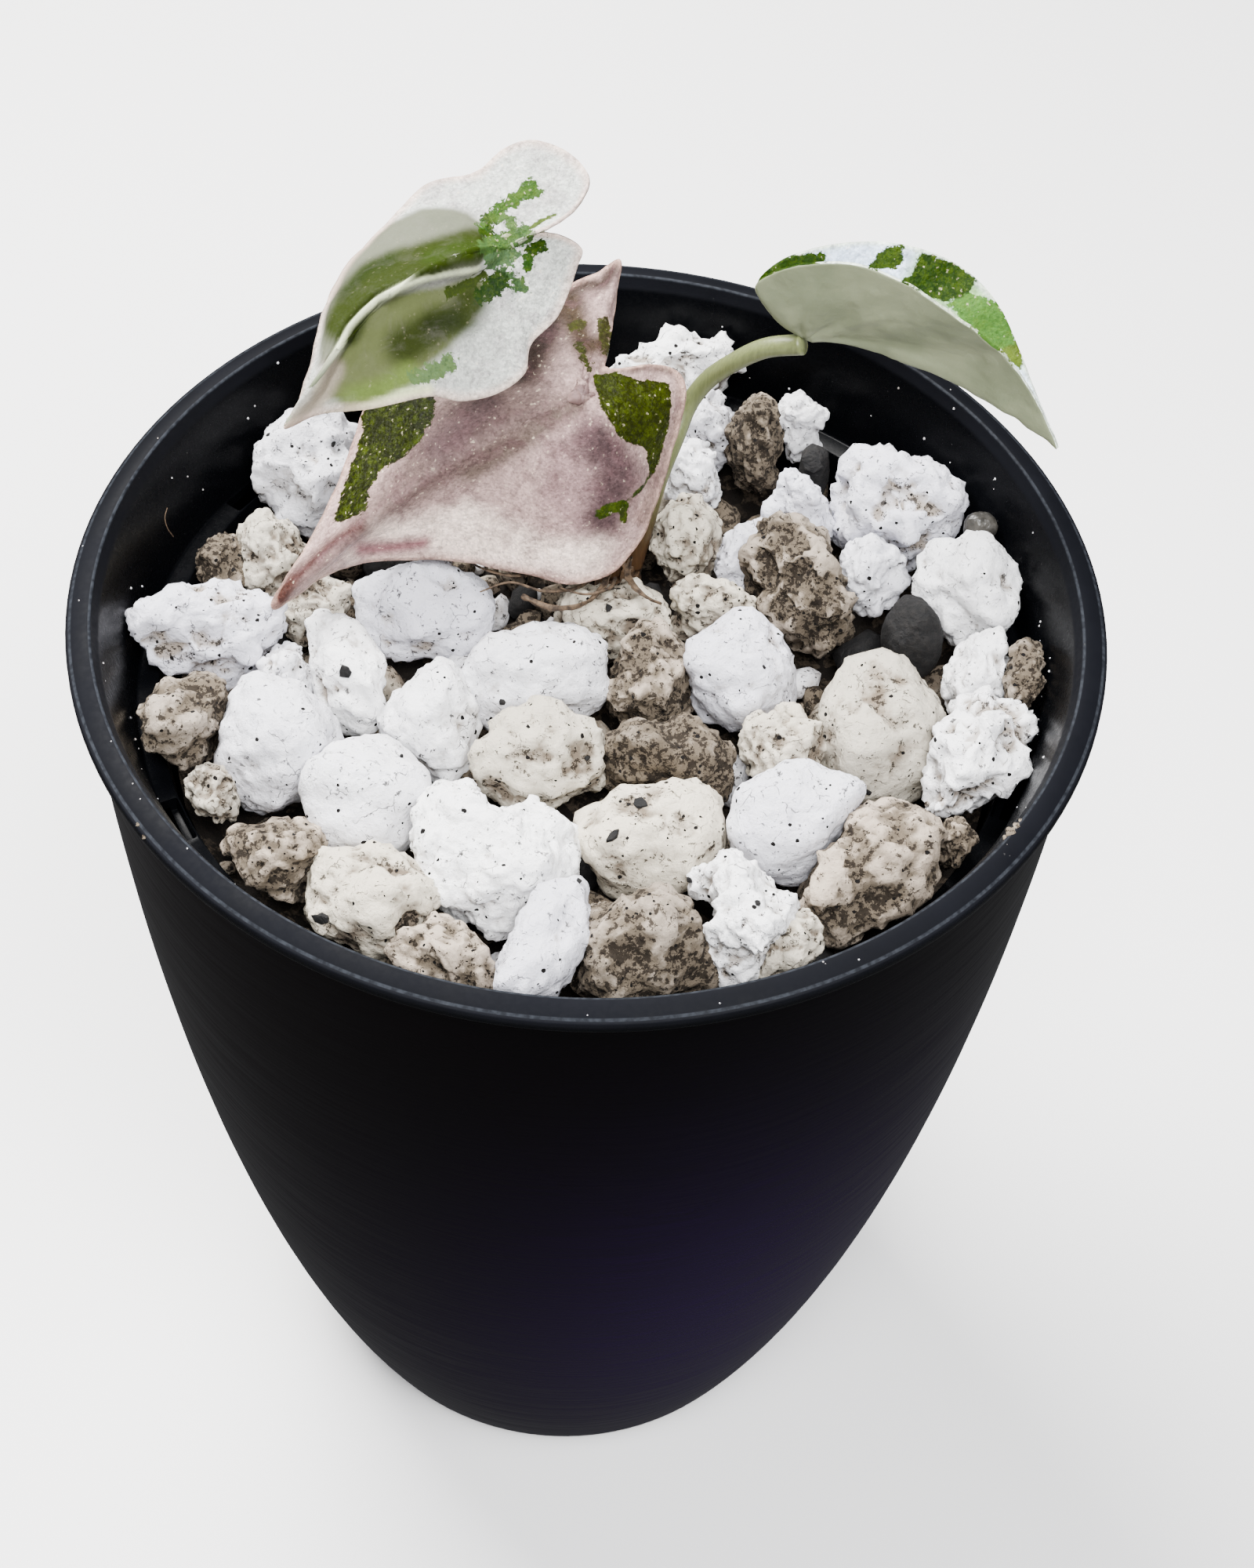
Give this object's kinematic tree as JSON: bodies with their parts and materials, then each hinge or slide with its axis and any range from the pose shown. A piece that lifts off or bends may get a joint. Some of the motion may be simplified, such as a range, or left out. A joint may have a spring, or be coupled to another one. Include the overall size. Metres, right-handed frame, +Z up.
{
  "type": "potted alocasia cuprea",
  "caption": "Small variegated alocasia with white, pink and green shield-shaped leaves, standing in coarse perlite in a black egg-shaped pot with a hanging liner.",
  "frame": {"origin": "middle of the outer pot's foot, on the surface that it stands on", "axes": "+Z up along the pot's axis; -Y towards the front, where the hanging leaf shows its face; +X to the right, seen from the front"},
  "size_m": [0.12, 0.12, 0.1728],
  "materials": {
    "outer_pot_plastic": "satin black, finely ridged",
    "liner_plastic": "smooth black with dust and scuffs",
    "perlite_fill": "damp fine perlite, rough",
    "stem_skin": "orange-brown skin, fibrous",
    "dry_leaf_skin": "dry brown leaf skin, crinkled",
    "leaf_white": "silvery white leaf with green at its heart",
    "leaf_pink": "pink and silver leaf with green patches",
    "leaf_green": "pale green leaf, glittering green above",
    "perlite_white": "chalky white, porous",
    "perlite_cream": "off-white, porous, lightly soiled",
    "perlite_stained": "soil-stained, porous",
    "charcoal": "black, dull"
  },
  "bodies": {
    "root": {"outer_pot": "outer_pot_plastic", "liner_pot": "liner_plastic", "perlite_bed": "perlite_fill", "stem_base": "stem_skin", "dry_sheath": "dry_leaf_skin", "leaf_upper": "leaf_white", "leaf_front": "leaf_pink", "leaf_right": "leaf_green", "perlite_01": "perlite_white", "perlite_02": "perlite_cream", "perlite_03": "perlite_stained", "perlite_04": "perlite_white", "perlite_05": "perlite_cream", "perlite_06": "perlite_white", "perlite_07": "perlite_white", "perlite_08": "perlite_white", "perlite_09": "perlite_stained", "perlite_10": "perlite_white", "perlite_11": "perlite_cream", "perlite_12": "perlite_stained", "perlite_13": "perlite_white", "perlite_14": "perlite_white", "perlite_15": "perlite_white", "perlite_16": "perlite_cream", "perlite_17": "perlite_white", "perlite_18": "perlite_cream", "perlite_19": "perlite_stained", "perlite_20": "perlite_white", "perlite_21": "perlite_stained", "perlite_22": "perlite_cream", "perlite_23": "perlite_white", "perlite_24": "perlite_white", "perlite_25": "perlite_cream", "perlite_26": "perlite_stained", "perlite_27": "perlite_stained", "perlite_28": "perlite_cream", "perlite_29": "perlite_white", "perlite_30": "perlite_white", "perlite_31": "perlite_stained", "perlite_32": "perlite_white", "perlite_33": "perlite_stained", "perlite_34": "perlite_stained", "perlite_35": "perlite_cream", "perlite_36": "perlite_stained", "perlite_37": "perlite_white", "perlite_38": "perlite_white", "perlite_39": "perlite_white", "perlite_40": "perlite_white", "perlite_41": "perlite_white", "perlite_42": "charcoal", "perlite_43": "perlite_cream", "perlite_44": "perlite_cream", "perlite_45": "perlite_cream", "perlite_46": "perlite_stained", "perlite_47": "perlite_white", "perlite_48": "charcoal", "perlite_49": "perlite_white", "perlite_50": "perlite_white", "perlite_51": "perlite_white", "perlite_52": "charcoal"}
  },
  "joints": []
}
